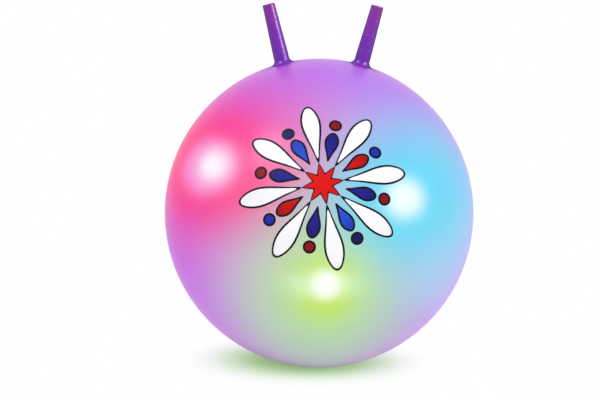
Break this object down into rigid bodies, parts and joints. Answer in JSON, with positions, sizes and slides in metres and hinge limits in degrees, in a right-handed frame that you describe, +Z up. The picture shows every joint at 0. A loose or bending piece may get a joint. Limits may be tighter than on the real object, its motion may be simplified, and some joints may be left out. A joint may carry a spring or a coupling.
{
  "type": "hopper ball",
  "caption": "Inflated bouncing ball with hollow grip horns on top, a push-in air plug at the back, and bounce-triggered light capsules in pockets on the inside of its skin.",
  "frame": {"origin": "on the ground, at the middle of the flat patch on which the ball stands", "axes": "+Z up, the front of the ball faces -Y, +X to the viewer's right"},
  "size_m": [0.4499, 0.4498, 0.5267],
  "materials": {
    "skin_vinyl": "satin",
    "horn_vinyl": "gloss",
    "pocket_vinyl": "satin",
    "clear_plastic": "gloss",
    "white_plastic": "satin",
    "board": "satin",
    "black_resin": "gloss",
    "brass": "satin",
    "spring_steel": "satin",
    "cell_steel": "satin",
    "screw_steel": "satin",
    "red_lamp": "gloss",
    "blue_lamp": "gloss",
    "green_lamp": "gloss"
  },
  "bodies": {
    "ball": {"ball_skin": "skin_vinyl", "valve_seat": "pocket_vinyl", "left_horn_root": "horn_vinyl", "right_horn_root": "horn_vinyl", "red_pocket": "pocket_vinyl", "red_lens": "clear_plastic", "red_case": "white_plastic", "red_circuit_board": "board", "red_led": "red_lamp", "red_chip": "black_resin", "red_switch_post": "brass", "red_cells": "cell_steel", "red_contacts": "brass", "red_screws": "screw_steel", "blue_pocket": "pocket_vinyl", "blue_lens": "clear_plastic", "blue_case": "white_plastic", "blue_circuit_board": "board", "blue_led": "blue_lamp", "blue_chip": "black_resin", "blue_switch_post": "brass", "blue_cells": "cell_steel", "blue_contacts": "brass", "blue_screws": "screw_steel", "green_pocket": "pocket_vinyl", "green_lens": "clear_plastic", "green_case": "white_plastic", "green_circuit_board": "board", "green_led": "green_lamp", "green_chip": "black_resin", "green_switch_post": "brass", "green_cells": "cell_steel", "green_contacts": "brass", "green_screws": "screw_steel"},
    "left_horn": {"left_horn": "horn_vinyl"},
    "right_horn": {"right_horn": "horn_vinyl"},
    "valve_plug": {"valve_plug": "white_plastic"},
    "red_switch_spring": {"red_switch_spring": "spring_steel"},
    "blue_switch_spring": {"blue_switch_spring": "spring_steel"},
    "green_switch_spring": {"green_switch_spring": "spring_steel"}
  },
  "joints": [
    {"name": "left_horn_flex", "type": "hinge", "parent": "ball", "child": "left_horn", "pos_m": [-0.05834, 0, 0.44784], "axis": [0.9681, 0, 0.2504], "range_deg": [-30, 30], "stiffness_Nm_per_rad": 1, "deforming": ["left_horn_root"]},
    {"name": "right_horn_flex", "type": "hinge", "parent": "ball", "child": "right_horn", "pos_m": [0.05834, 0, 0.44784], "axis": [0.9681, 0, -0.2504], "range_deg": [-30, 30], "stiffness_Nm_per_rad": 1, "deforming": ["right_horn_root"]},
    {"name": "valve_plug_pull", "type": "slide", "parent": "ball", "child": "valve_plug", "axis": [0, 0.866, -0.5], "range_m": [0, 0.03]},
    {"name": "red_switch_sway", "type": "hinge", "parent": "ball", "child": "red_switch_spring", "pos_m": [-0.1467, -0.12846, 0.30898], "axis": [0.6947, -0.7193, 0], "range_deg": [-7.5, 7.5], "stiffness_Nm_per_rad": 0.0002},
    {"name": "blue_switch_sway", "type": "hinge", "parent": "ball", "child": "blue_switch_spring", "pos_m": [0.10132, -0.18008, 0.27564], "axis": [0.848, 0.5299, 0], "range_deg": [-7.5, 7.5], "stiffness_Nm_per_rad": 0.0002},
    {"name": "green_switch_sway", "type": "hinge", "parent": "ball", "child": "green_switch_spring", "pos_m": [0.00121, -0.20464, 0.16171], "axis": [0.9986, 0.0523, 0], "range_deg": [-7.5, 7.5], "stiffness_Nm_per_rad": 0.0002}
  ]
}
